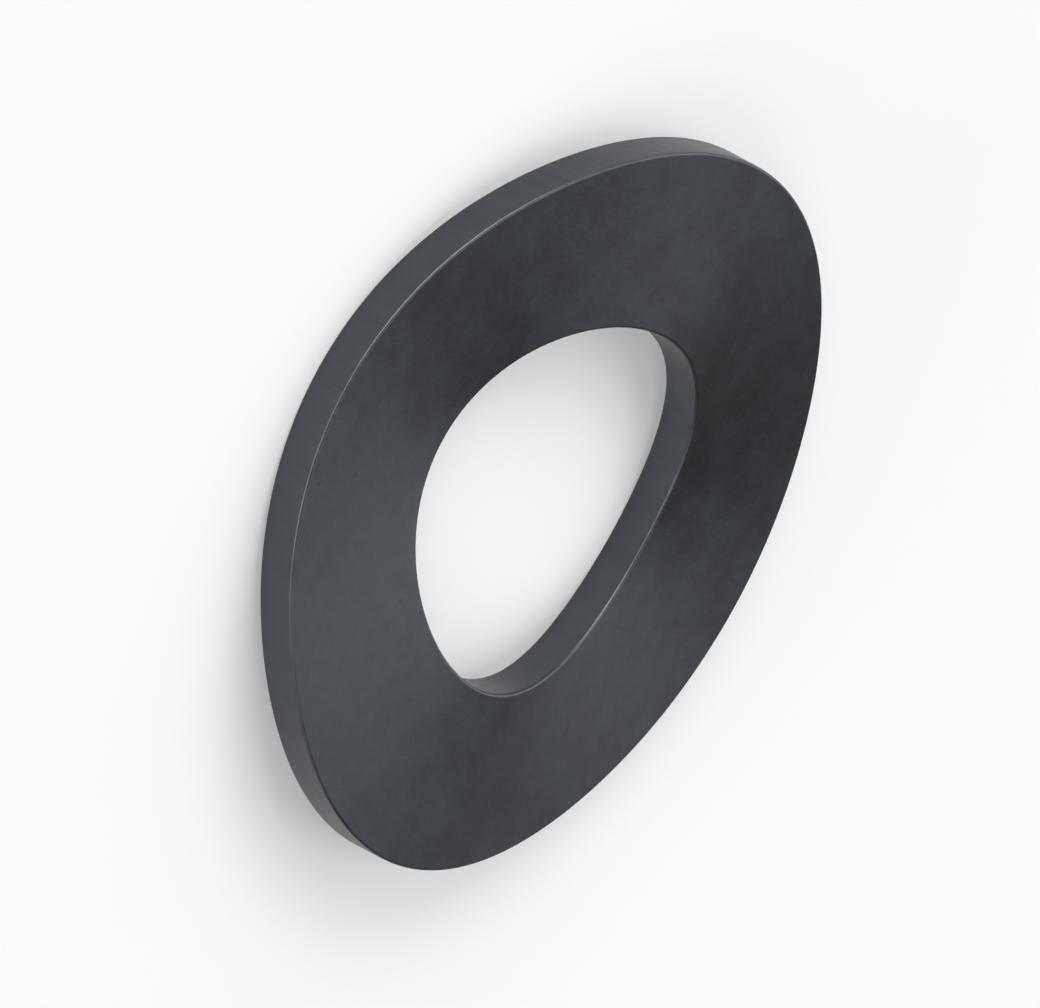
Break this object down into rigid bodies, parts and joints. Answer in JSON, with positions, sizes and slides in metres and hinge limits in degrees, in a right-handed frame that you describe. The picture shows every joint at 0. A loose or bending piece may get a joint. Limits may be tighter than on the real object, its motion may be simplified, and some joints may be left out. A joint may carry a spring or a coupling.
{
  "type": "wave washer",
  "caption": "Spring washer stamped from sheet steel, with a round bore and a ring pressed into two smooth waves, so it stands on two troughs and springs under load.",
  "frame": {"origin": "on the bore axis, in the plane that the two troughs rest on", "axes": "+Z along the bore axis, up from the troughs to the crests; the crests lie on +X and -X, the troughs on +Y and -Y"},
  "size_m": [0.021, 0.021, 0.0022],
  "materials": {
    "dark_steel": "satin"
  },
  "bodies": {
    "root": {"washer": "dark_steel"}
  },
  "joints": []
}
